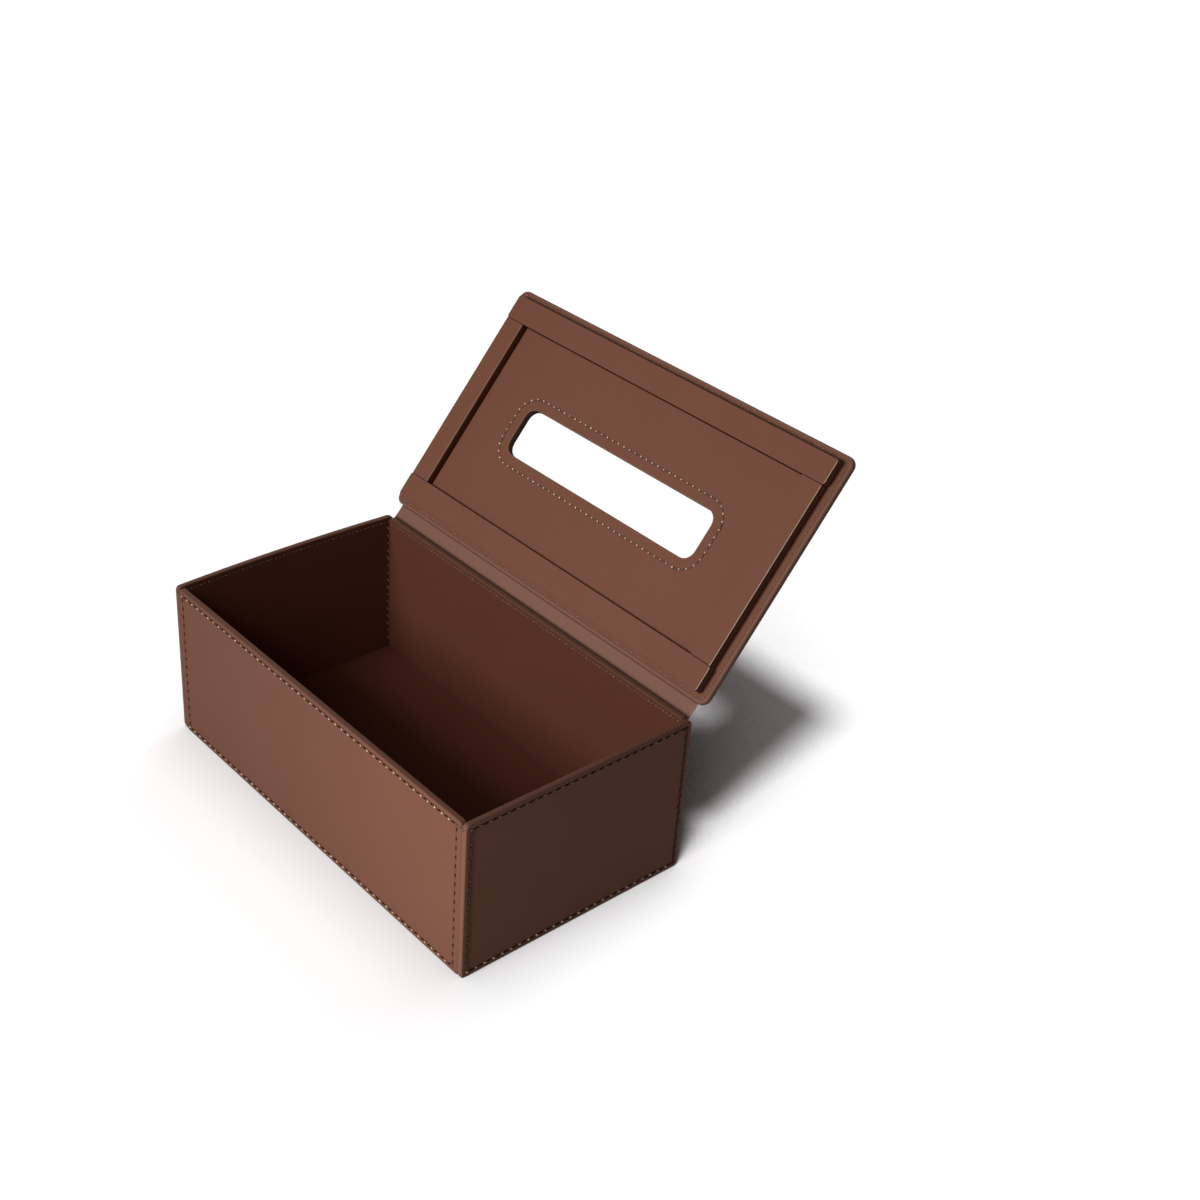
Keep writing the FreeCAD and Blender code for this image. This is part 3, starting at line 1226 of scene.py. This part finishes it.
@dataclass
class Lid:
    """The lid: leather round a board and down through the tissue slot, a lining, and the rim's strips."""

    hinge: LidHinge
    spacing: float = 0.9 * MM
    corner: float = 5.0 * MM
    slot_corner: float = 6.5 * MM
    edge_round: float = 1.3 * MM
    slot_round: float = 0.6 * MM
    border_inset: float = 2.7 * MM
    border_pitch: float = 5.2 * MM
    border_thread_sink: float = 0.46 * MM
    slot_seam_margin: float = 6.2 * MM
    slot_seam_pitch: float = 4.4 * MM
    wear_and_highlight: float = 0.09
    # How dark the painted shade on the slot's wall is
    slot_wall_painted_shade: float = 0.85
    rim_corner: float = 1.4 * MM
    rim_joint: float = 0.25 * MM
    # Painted highlight on the rim strips' edges that face +X, weaker on the left strip, whose +X edge is its
    # inner one
    rim_edge_highlight: float = 1.05
    sheltered_rim_edge_highlight: float = 0.4
    # How strong the painted shade is in the border's and the slot's stitch holes
    border_mark: float = 0.25
    slot_mark: float = 0.45
    lining_lip: float = 0.4 * MM
    sheet_corner: float = 0.3 * MM
    foot_band: float = 0.05 * MM

    def __post_init__(self) -> None:
        """Reads the shut lid's sizes from the frame."""
        cover = Extent.of(self.hinge.shut(node_points("lid_cover")))
        board = Extent.of(self.hinge.shut(node_points("lid_board")))
        lining = Extent.of(self.hinge.shut(node_points("lid_lining")))
        card = Extent.of(self.hinge.shut(node_points("lid_infill_card")))
        self.top = cover.high[2]
        self.underside = card.low[2]
        self.lining_face = lining.low[2]
        self.leather = self.top - board.high[2]
        self.board_top = board.high[2]
        self.board_underside = board.low[2]
        self.outline = Outline(cover.size[0] / 2, cover.size[1] / 2, self.corner, (0.0, cover.centre[1]))
        self.window = Outline(card.size[0] / 2, card.size[1] / 2, 0.0, (0.0, card.centre[1]))
        sheet_centre = (0.0, lining.centre[1])
        self.sheet = Outline(lining.size[0] / 2, lining.size[1] / 2, self.sheet_corner, sheet_centre)
        self.slot = self.slot_outline()
        self.sampling = Sampling.spaced(self.outline, self.spacing)

    def slot_outline(self) -> Outline:
        """Outline of the tissue slot, from the foot of the leather's wall round it.

        The foot is two outlines, one inside the other, whose points lie where their straight sides end.
        The inner one's half width is the least Y there of the points with the least X, and its half
        length is the least X of the points with the least Y.

        Returns:
            The inner outline.
        """
        points = self.hinge.shut(node_points("lid_cover"))
        foot = np.abs(points[points[:, 2] < points[:, 2].min() + self.foot_band, :2])
        ends = foot < foot.min(axis=0) + SAME_PLACE
        return Outline(foot[ends[:, 1], 0].min(), foot[ends[:, 0], 1].min(), self.slot_corner)

    def border_seam(self) -> Seam:
        """Stitches round the lid's edge, on both of its faces."""
        seam = Seam.round(self.outline.grown(-self.border_inset), self.border_pitch)
        return replace(seam, mark=self.border_mark)

    def slot_seam(self) -> Seam:
        """Stitches round the tissue slot, on the lid's top and on the lining."""
        seam = Seam.round(self.slot.grown(self.slot_seam_margin), self.slot_seam_pitch)
        return replace(seam, mark=self.slot_mark)

    def near_slot(self, margins: np.ndarray, level: float) -> Rings:
        """Rings at margins round the slot, all at one level."""
        return Rings.round_outline(self.slot, flat_profile(-margins, level))

    def near_edge(self, insets: np.ndarray, level: float) -> Rings:
        """Rings at insets from the lid's edge, all at one level."""
        return Rings.round_outline(self.outline, flat_profile(insets, level))

    def slot_margins(self, first: float) -> np.ndarray:
        """Margins of a face's rings round the slot from the first outwards, close together along the seam."""
        seam = self.slot_seam_margin + np.arange(-1.4, 1.5, 0.25) * MM
        return np.concatenate([[first, 1.8 * MM, 3.4 * MM], seam, [9 * MM, 14 * MM]])

    def slot_lip(self, face: float, radius: float, rise: int) -> np.ndarray:
        """Rounded lip of the slot: a quarter circle from its wall, tangent to it, to a face.

        Args:
            face: the face's level.
            radius: the circle's radius.
            rise: plus one where the lip turns up to the face, minus one where it turns down.

        Returns:
            Rows of inset and level, without the last one, on the face.
        """
        centre = face - rise * radius
        rows = quarter_round(0, centre, radius, rise, 0)[:-1]
        rows[:, 0] = -(radius - np.sqrt(np.clip(radius**2 - (rows[:, 1] - centre) ** 2, 0, None)))
        return rows

    def skin_rings(self, parts: dict[str, Rings]) -> tuple[np.ndarray, np.ndarray]:
        """Rings of a skin's parts as one stack.

        Args:
            parts: the rings of each part, by the part's name.

        Returns:
            An array of ring, point and X, Y, level, and the name of the part that each ring is in.
        """
        counts = [len(rings.level) for rings in parts.values()]
        return Rings.joined(*parts.values()).points(self.sampling), np.repeat(list(parts), counts)

    def draw_down(
        self, points: np.ndarray, seams: list[Seam], mask: np.ndarray, inwards: float,
    ) -> np.ndarray:
        """Lets seams draw a face down, in place, and paints shade in their holes.

        Args:
            points: rings of points of the shut lid.
            seams: the stitches in that face.
            mask: which rings lie on that face.
            inwards: plus one where the leather lies above the face, minus one where it lies below.

        Returns:
            How much painted shade each point takes in the stitch holes and grooves, from 0 to 1.
        """
        dip = np.zeros(points.shape[:2])
        flat = points[mask][..., :2].reshape(-1, 2)
        for seam in seams:
            depth, pit = seam.dip(flat)
            points[mask, :, 2] += inwards * depth.reshape(-1, points.shape[1])
            dip[mask] = np.maximum(dip[mask], pit.reshape(-1, points.shape[1]))
        return dip

    def cover(self) -> Surface:
        """Leather of the lid: a section carried round between the slot and the edge, closed on itself.

        The section runs over the top from the slot's lip to the edge, round it, in under the border, and
        back inside over the board's edge and top and down the inside of the slot's wall.

        Returns:
            The skin, opened to its place at rest.
        """
        lip, edge = self.slot_round, self.edge_round
        seam = np.arange(4.1, 1.4, -0.22) * MM
        border = np.concatenate([[16 * MM, 9 * MM, 6 * MM, 4.8 * MM], seam])
        rim_window = self.outline.half_y - self.window.half_y
        rounded = np.vstack([
            quarter_round(edge, self.top - edge, edge, -1, 1),
            quarter_round(edge, self.underside + edge, edge, -1, 0),
        ])
        round_board = [
            (rim_window, self.underside), (rim_window, self.board_underside),
            (self.leather, self.board_underside), (self.leather, self.board_top),
        ]
        wall = [(-self.leather, self.board_top), (-self.leather, self.underside), (0, self.underside)]
        over = self.near_slot(self.slot_margins(lip + 0.3 * MM), self.top)
        parts = {
            "lip": Rings.round_outline(self.slot, self.slot_lip(self.top, lip, 1)),
            "top": Rings.joined(over, self.near_edge(border, self.top)),
            "edge": Rings.round_outline(self.outline, rounded),
            "border": self.near_edge(seam[::-1], self.underside),
            "inside": Rings.round_outline(self.outline, round_board),
            "wall": Rings.round_outline(self.slot, wall),
        }
        points, part = self.skin_rings(parts)
        dip = self.draw_down(points, [self.slot_seam(), self.border_seam()], part == "top", -1)
        dip = np.maximum(dip, self.draw_down(points, [self.border_seam()], part == "border", 1))
        # The slot's wall takes painted shade
        dip[[0, -1]] = self.slot_wall_painted_shade
        worn_and_highlit = np.where(np.isin(part, ("lip", "edge")), self.wear_and_highlight, 0.0)
        worn_and_highlit = np.broadcast_to(worn_and_highlit[:, None], dip.shape)
        return Surface.over_rings(self.hinge.opened(points), True, dip=dip, edge=worn_and_highlit)

    def lining(self) -> Surface:
        """Sheet of leather inside the lid, from the slot's lip to the rim, stitched round the slot.

        Returns:
            The sheet, opened to its place at rest.
        """
        lip, face, back = self.lining_lip, self.lining_face, self.underside
        edge = quarter_round(lip, face + lip, lip, 1, -1)
        parts = {
            "wall": Rings.round_outline(self.slot, [(0, back)]),
            "lip": Rings.round_outline(self.slot, self.slot_lip(face, lip, -1)),
            "face": self.near_slot(self.slot_margins(lip + 0.4 * MM), face),
            "rim": Rings.round_outline(
                self.sheet, np.vstack([[(6 * MM, face), (1 * MM, face)], edge, [(0, back)]]),
            ),
        }
        points, part = self.skin_rings(parts)
        dip = self.draw_down(points, [self.slot_seam()], part == "face", 1)
        # The slot's wall takes painted shade
        dip[:2] = self.slot_wall_painted_shade
        worn_and_highlit = np.where(np.isin(part, ("wall", "lip")), self.wear_and_highlight, 0.0)
        worn_and_highlit = np.broadcast_to(worn_and_highlit[:, None], dip.shape)
        return Surface.over_rings(self.hinge.opened(points), True, dip=dip, edge=worn_and_highlit)

    def thread(self, seam: Seam, level: float, up: float, knot: ThreadShape, seed: int) -> Surface:
        """Thread of a seam on one of the lid's faces.

        Args:
            seam: the stitches.
            level: the face's level when the lid is shut.
            up: plus one on the lid's top, minus one on its underside.
            knot: the pale thread at its needle holes.
            seed: what the beads' small differences are drawn from.

        Returns:
            The beads of thread, opened to their place at rest.
        """
        def beads(shape: ThreadShape, sides: tuple[np.ndarray, np.ndarray]) -> Surface:
            """Beads of one shape between two rows of points in the lid's plane."""
            start, end = [at_level(side, level) for side in sides]
            return shape.surface(start, end, np.broadcast_to([0.0, 0.0, up], start.shape), seed)

        surface = beads(FAINT, (seam.start, seam.end)).with_more(beads(knot, seam.knots()))
        surface.points = self.hinge.opened(surface.points)
        return surface

    def build(self, shop: Workshop, seed: int) -> list[bpy.types.Object]:
        """Makes the lid's pieces and sets them on the lid.

        Args:
            shop: where the pieces are made.
            seed: what the stitches' small differences are drawn from.

        Returns:
            The pieces.
        """
        border, slot = self.border_seam(), self.slot_seam()
        made = [
            shop.piece("lid_leather", self.cover(), Finish.LEATHER, ("lid_cover",)),
            shop.piece("lid_inner_lining", self.lining(), Finish.LEATHER, ("lid_lining",)),
        ]
        rows = {
            "lid_border_stitches": (border, self.top, 1, BORDER_KNOT),
            "lid_border_inner_stitches": (border, self.underside + self.border_thread_sink, -1, FAINT_KNOT),
            "slot_stitches": (slot, self.top, 1, SLOT_KNOT),
            "slot_inner_stitches": (slot, self.lining_face, -1, SLOT_KNOT),
        }
        for number, (name, row) in enumerate(rows.items()):
            made.append(shop.piece(name, self.thread(*row, seed + number), Finish.THREAD))
        for piece in made:
            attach(piece, LID_BODY)
        for node in ("lid_board", "lid_infill_card"):
            shop.dress(node, Finish.GREYBOARD)
        for name in ("front", "rear"):
            made.append(RimStrip(f"rim_{name}", self.hinge, self.rim_corner, 0.0, self.rim_edge_highlight).build(shop))
        for name, wear_and_highlight in (("left", self.sheltered_rim_edge_highlight), ("right", self.rim_edge_highlight)):
            made.append(RimStrip(f"rim_{name}", self.hinge, 0.0, self.rim_joint, wear_and_highlight).build(shop))
        return made


@dataclass
class HingeStrip:
    """One strip of leather, bent up the back wall's outer face, over to the fold and into the lid."""

    hinge: LidHinge
    bend: float = 2.0 * MM
    fold_reach: float = 1.6 * MM
    edge_round: float = 0.3 * MM
    crease_width: float = 0.4 * MM
    # Painted shade along the crease at the lid's edge, and painted shadow where the strip leaves the back
    # wall's top
    crease_painted_shade: float = 0.8
    seat_width: float = 1.0 * MM
    seat_painted_shadow: float = 0.85
    seat_below_top: float = 1.0 * MM
    wear_and_highlight: float = 0.09
    edge_wear: float = 0.3
    wear_width: float = 0.4 * MM
    corner: float = 0.6 * MM
    face_margin: float = 0.6 * MM
    face_rings: int = 30
    bend_steps: int = 40
    samples: int = 600

    def __post_init__(self) -> None:
        """Reads the strip's thickness and length from the frame."""
        self.tongue = Extent.of(self.hinge.shut(node_points("hinge_lid_leaf")))
        self.thick = self.tongue.size[2]
        self.half_length = self.tongue.size[0] / 2

    def path(self) -> tuple[np.ndarray, np.ndarray]:
        """Middle line of the strip in the plane across the box.

        It runs straight up the wall, round an arc, straight on to the fold and straight into the lid.

        Returns:
            Rows of Y and Z at even steps, and the length along the line at each.
        """
        leaf = node_points("hinge_wall_leaf")
        wall = Extent.of(node_points("back_cover")).high[1]
        middle = wall + self.thick / 2
        fold = self.hinge.fold[1:]
        foot = np.array([middle, leaf[:, 2].min()])
        touching = leaf[np.abs(leaf[:, 1] - wall) < SAME_PLACE]
        centre = np.array([middle + self.bend, touching[:, 2].max()])
        away = fold - centre
        end = math.atan2(away[1], away[0]) + math.acos(self.bend / np.hypot(*away))
        angles = np.linspace(math.pi, end, self.bend_steps)
        arc = centre + self.bend * np.stack([np.cos(angles), np.sin(angles)], axis=1)
        into_lid = self.hinge.opened(np.array([[0, self.tongue.low[1], self.hinge.fold[2]]]))[0, 1:]
        line = np.vstack([foot, arc, fold, into_lid])
        run = run_along(line)
        even = np.linspace(0, run[-1], self.samples)
        return on_line(even, run, line), even

    def build(self, shop: Workshop) -> bpy.types.Object:
        """Flat strip with rounded edges, bent along its middle line.

        Args:
            shop: where the piece is made.

        Returns:
            The strip.
        """
        line, run = self.path()
        total = run[-1]
        outline = Outline(self.half_length, total / 2, self.corner)
        half, edge = self.thick / 2, self.edge_round
        middle = np.linspace(outline.reach, self.face_margin, self.face_rings)
        profile = np.vstack([
            flat_profile(middle, half),
            quarter_round(edge, half - edge, edge, -1, 1, 3),
            quarter_round(edge, edge - half, edge, -1, 0, 3),
            flat_profile(middle[::-1], -half),
        ])
        flat = Rings.round_outline(outline, profile).points(Sampling(140, 40, 4))
        at, height = flat[..., 1] + total / 2, flat[..., 2]
        place = on_line(at, run, line)
        slope = np.gradient(line, run, axis=0)
        slope /= np.linalg.norm(slope, axis=1, keepdims=True)
        tangent = on_line(at, run, slope)
        y = place[..., 0] - tangent[..., 1] * height
        z = place[..., 1] + tangent[..., 0] * height
        points = np.stack([flat[..., 0], y, z], axis=-1)
        worn_and_highlit = self.wear_and_highlight + self.edge_wear * np.exp(-((profile[:, :1] / self.wear_width) ** 2))
        fold = self.hinge.fold
        lid_edge = self.hinge.shut(node_points("lid_cover"))[:, 1].max()
        tongue_start = total - np.linalg.norm(line[-1] - fold[1:])
        crease = tongue_start + fold[1] - lid_edge
        seat_level = Extent.of(node_points("back_cover")).high[2] - self.seat_below_top
        on_wall = run < tongue_start
        seat = np.interp(seat_level, line[on_wall, 1], run[on_wall])
        # Painted shade at the crease and painted shadow at the back wall's top
        shade = np.maximum(
            self.crease_painted_shade * np.exp(-(((at - crease) / self.crease_width) ** 2)),
            self.seat_painted_shadow * np.exp(-(((at - seat) / self.seat_width) ** 2)),
        )
        surface = Surface.over_rings(points, False, edge=np.broadcast_to(worn_and_highlit, at.shape), dip=shade)
        leaves = ("hinge_wall_leaf", "hinge_lid_leaf")
        piece = shop.piece("hinge_strip", surface, Finish.LEATHER, leaves)
        along = np.array([0, *(line[-1] - fold[1:])])
        along /= np.linalg.norm(along)
        start, end = fold - along * self.fold_reach, fold + along * self.fold_reach
        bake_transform(piece)
        return piece


@dataclass
class CornerThreads:
    """Hand stitches that hold the box's corners: slanted ones inside, and two bridges outside at the top."""

    pitch: float = 4.9 * MM
    reach: float = 1.3 * MM
    rise: float = 1.9 * MM
    below_top: float = 7.0 * MM
    bridge_drop: tuple[float, float] = (2.7 * MM, 3.6 * MM)
    bridge_end: float = 0.7 * MM
    bridge_rise: float = 0.3 * MM

    def build(self, shop: Workshop, panels: dict[Wall, Panel], seed: int) -> list[bpy.types.Object]:
        """Makes the inside and outside corner threads and sets them on the box.

        Args:
            shop: where the pieces are made.
            panels: the box's panels.
            seed: what the beads' small differences are drawn from.

        Returns:
            The pieces.
        """
        front, back = panels[Wall.FRONT], panels[Wall.BACK]
        right = panels[Wall.RIGHT]
        inner_x = right.face[0] - right.thick
        outer_x = right.face[0]
        top = front.face[2] + front.outline.half_y
        foot = panels[Wall.BASE].thick
        levels = np.arange(top - self.below_top, foot + self.rise, -self.pitch)
        starts, ends, normals = [], [], []
        for panel in (front, back):
            inner_y = panel.face[1] - panel.outwards[1] * panel.thick
            for side in (-1, 1):
                towards = np.array([-side, -panel.outwards[1], 0])
                on_side = np.array([side * inner_x, inner_y + towards[1] * self.reach])
                on_long = np.array([side * inner_x + towards[0] * self.reach, inner_y])
                starts.append(np.column_stack([np.tile(on_side, (len(levels), 1)), levels + self.rise / 2]))
                ends.append(np.column_stack([np.tile(on_long, (len(levels), 1)), levels - self.rise / 2]))
                normals.append(np.tile(towards / math.sqrt(2), (len(levels), 1)))
        inside = WHIP.surface(np.vstack(starts), np.vstack(ends), np.vstack(normals), seed)
        made = [shop.piece("corner_inner_stitches", inside, Finish.THREAD)]
        starts, ends, normals = [], [], []
        for panel in (front, back):
            for side in (-1, 1):
                for drop in self.bridge_drop:
                    hole_x = panel.outline.half_x - panel.seam_inset
                    level = top - drop
                    starts.append((side * hole_x, panel.face[1], level))
                    ends.append((side * (outer_x - self.bridge_end), panel.face[1], level + self.bridge_rise))
                    normals.append(panel.outwards)
        outside = BRIDGE.surface(np.array(starts), np.array(ends), np.array(normals, float), seed + 1)
        made.append(shop.piece("corner_bridge_stitches", outside, Finish.THREAD))
        for piece in made:
            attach(piece, BOX_BODY)
        return made


# The studio


class Lit(Enum):
    """What a soft lamp lights."""

    BOX = "the box's outside"
    INSIDE = "the box's linings and the thread in them"
    LID = "the lid and its hinge"
    WHOLE = "the box and its lid"


@dataclass(frozen=True)
class SoftBox:
    """Square lamp that lights pieces of the box and not the table."""

    name: str
    lit: Lit
    place: tuple[float, float, float]
    aim: tuple[float, float, float]
    size: tuple[float, float]
    power: float


@dataclass(frozen=True)
class TableSun:
    """Far lamp that lights the table and not the box, for the box's shadow there."""

    name: str
    towards: tuple[float, float, float]
    angle: float
    power: float


@dataclass
class Studio:
    """White table, soft lamps and a camera at the photograph's angle."""

    azimuth: float = 46.557
    elevation: float = 31.474
    roll: float = -4.366
    distance: float = 1.144745
    target: tuple[float, float, float] = (-0.091662, 0.206395, 0.0)
    lens: float = 54.715
    table_half: float = 12.0
    table_bounce: float = 0.18
    contact_reach: float = 0.037
    contact_shade: float = 0.52
    contact_samples: int = 8
    shade_reach: float = 0.3
    shade_from: tuple[float, float, float] = (0.3, -0.7, 0.65)
    shade_start: float = 0.28
    shade_depth: float = 3.4
    shade_samples: int = 16
    table_white: float = 0.95
    table_suns: tuple[TableSun, ...] = (
        TableSun("table_lamp", (0.2, -0.328, 0.923), 9.5, 3.3),
        TableSun("table_back_lamp", (-0.22, 0.6, 0.77), 40.0, 0.55),
    )
    soft_boxes: tuple[SoftBox, ...] = (
        SoftBox("box_lamp", Lit.BOX, (-0.12, -1.32, 0.9), (0.0, 0.05, 0.08), (0.6, 0.6), 10.7),
        SoftBox("inside_lamp", Lit.INSIDE, (-0.12, -1.32, 0.9), (0.0, 0.05, 0.08), (0.6, 0.6), 14.4),
        SoftBox("inside_fill", Lit.INSIDE, (0.62, -0.75, 0.8), (0.0, 0.0, 0.05), (0.2, 0.2), 1.1),
        SoftBox("low_lamp", Lit.BOX, (0.15, -0.27, 0.07), (0.06, -0.069, 0.05), (0.12, 0.08), 0.2),
        SoftBox("lid_lamp", Lit.LID, (0.03, -0.45, 0.46), (0.0, 0.119, 0.15), (0.22, 0.22), 2.85),
        SoftBox("back_lamp", Lit.WHOLE, (-0.6, 1.05, 0.35), (0.0, 0.07, 0.08), (0.6, 0.6), 3.6),
    )
    sky_fill: float = 0.01

    def camera(self) -> None:
        """Camera that looks at its target from an azimuth and elevation, rolled about its own axis."""
        azimuth, elevation = math.radians(self.azimuth), math.radians(self.elevation)
        level = math.cos(elevation)
        back = Vector((math.sin(azimuth) * level, -math.cos(azimuth) * level, math.sin(elevation)))
        right = (-back).cross(Vector((0, 0, 1))).normalized()
        up = back.cross(right)
        upright = Matrix((right, up, back)).transposed()
        turned = upright @ Matrix.Rotation(math.radians(-self.roll), 3, "Z")
        data = bpy.data.cameras.new("camera")
        data.lens = self.lens
        made = bpy.data.objects.new("camera", data)
        made.matrix_world = Matrix.Translation(Vector(self.target) + back * self.distance) @ turned.to_4x4()
        bpy.context.scene.collection.objects.link(made)
        bpy.context.scene.camera = made

    def lamp(self, name: str, kind: str, place: Vector, aim: Vector, settings: dict) -> bpy.types.Object:
        """Lamp at a place, turned towards a point.

        Args:
            name: the lamp's name.
            kind: the lamp's type.
            place: where it stands.
            aim: what it points at.
            settings: values for the lamp's own properties.

        Returns:
            The lamp.
        """
        data = bpy.data.lights.new(name, kind)
        for key, setting in settings.items():
            setattr(data, key, setting)
        made = bpy.data.objects.new(name, data)
        made.location = place
        made.rotation_euler = (aim - place).to_track_quat("-Z", "Y").to_euler()
        made.visible_camera = False
        bpy.context.scene.collection.objects.link(made)
        return made

    @staticmethod
    def light_only(lamp: bpy.types.Object, receivers: list[bpy.types.Object]) -> None:
        """Lets a lamp light only some objects, while all objects still cast their shadows.

        Args:
            lamp: the lamp.
            receivers: the objects that it lights.
        """
        group = bpy.data.collections.new(f"lit_by_{lamp.name}")
        for receiver in receivers:
            group.objects.link(receiver)
        lamp.light_linking.receiver_collection = group

    @staticmethod
    def seen(nodes: NodeFinish) -> Value:
        """Tells what is looked at from what only passes light on.

        Args:
            nodes: the finish that asks.

        Returns:
            1 for what the camera, a gloss or a glass sees, and 0 for light that bounces on.
        """
        path = nodes.node("ShaderNodeLightPath")
        seen = Value(nodes, path.outputs["Is Camera Ray"])
        for name in ("Is Glossy Ray", "Is Transmission Ray"):
            seen = seen.math("MAXIMUM", seen, Value(nodes, path.outputs[name]))
        return seen

    def table(self) -> bpy.types.Object:
        """Plain white table that takes the box's shadow and gives a little light back.

        Its colour takes painted shade close to the box, and behind the box where the space towards the front
        is closed off.

        Returns:
            The table, marked as stage.
        """
        half = self.table_half
        corners = [(-half, -half, 0), (half, -half, 0), (half, half, 0), (-half, half, 0)]
        mesh = bpy.data.meshes.new("table")
        mesh.from_pydata(corners, [], [(0, 1, 2, 3)])
        nodes = NodeFinish.new("white_table")
        grey = (self.table_bounce, self.table_bounce, self.table_bounce, 1)
        bounce = nodes.node("ShaderNodeBsdfDiffuse", None, {"Color": grey})
        contact = 1 - nodes.openness(self.contact_samples, {"Distance": self.contact_reach})
        towards = nodes.node("ShaderNodeCombineXYZ", None, dict(zip("XYZ", self.shade_from))).outputs[0]
        front = {"Distance": self.shade_reach, "Normal": towards}
        behind = 1 - self.shade_start - nodes.openness(self.shade_samples, front)
        behind = behind.math("MAXIMUM", behind, 0.0)
        light = (1 - self.contact_shade * contact) * (1 - self.shade_depth * behind)
        full = (self.table_white, self.table_white, self.table_white, 1)
        shaded = nodes.blend(light, (0, 0, 0, 1), full)
        white = nodes.node("ShaderNodeBsdfDiffuse", None, {"Color": shaded})
        shown = nodes.node("ShaderNodeMixShader", None, {
            0: self.seen(nodes), 1: bounce.outputs[0], 2: white.outputs[0],
        })
        mesh.materials.append(nodes.output(shown.outputs[0]))
        made = bpy.data.objects.new("table", mesh)
        bpy.context.scene.collection.objects.link(made)
        return made

    def sky(self) -> None:
        """World that is white to look at and gives only a little fill."""
        world = bpy.data.worlds.new("sky")
        bpy.context.scene.world = world
        nodes = NodeFinish(world)
        strength = self.sky_fill + (1 - self.sky_fill) * self.seen(nodes)
        glow = nodes.node("ShaderNodeBackground", None, {"Color": (1, 1, 1, 1), "Strength": strength})
        nodes.node("ShaderNodeOutputWorld", None, {"Surface": glow.outputs[0]})

    def build(self, lit: dict[Lit, list[bpy.types.Object]]) -> None:
        """Sets up the table, the lamps, the sky and the camera.

        Args:
            lit: the pieces that each kind of soft lamp lights.
        """
        bpy.context.scene.view_settings.view_transform = "Standard"
        table = self.table()
        for sun in self.table_suns:
            far = {"energy": sun.power, "angle": math.radians(sun.angle)}
            self.light_only(self.lamp(sun.name, "SUN", Vector(sun.towards), Vector(), far), [table])
        for box in self.soft_boxes:
            soft = {"energy": box.power, "shape": "RECTANGLE", "size": box.size[0], "size_y": box.size[1]}
            lamp = self.lamp(box.name, "AREA", Vector(box.place), Vector(box.aim), soft)
            self.light_only(lamp, lit[box.lit])
        self.sky()
        self.camera()


def main() -> None:
    """Builds the box, the lid, the hinge and the corner threads, then the studio round them."""
    logging.basicConfig(level=logging.INFO, format="%(message)s")
    shop = Workshop()
    hinge = LidHinge.from_frame()
    panels = [
        Panel(Wall.FRONT, LONG_WALL_SEWING, end_seam_inset=3.7 * MM),
        Panel(Wall.BACK, LONG_WALL_SEWING, end_seam_inset=3.7 * MM),
        Panel(Wall.LEFT, SIDE_WALL_SEWING, bow=2.0 * MM),
        Panel(Wall.RIGHT, SIDE_WALL_SEWING),
        Panel(Wall.BASE),
    ]
    box = []
    for number, panel in enumerate(panels):
        box += panel.build(shop, PANEL_SEEDS * number)
    lid = Lid(hinge).build(shop, LID_SEED)
    lid.append(HingeStrip(hinge).build(shop))
    box += CornerThreads().build(shop, {panel.wall: panel for panel in panels}, CORNER_SEED)
    inside = [piece for piece in box if INSIDE_MARK in piece.name]
    outside = [piece for piece in box if INSIDE_MARK not in piece.name]
    Studio().build({Lit.BOX: outside, Lit.INSIDE: inside, Lit.LID: lid, Lit.WHOLE: box + lid})


if __name__ == "__main__":
    main()
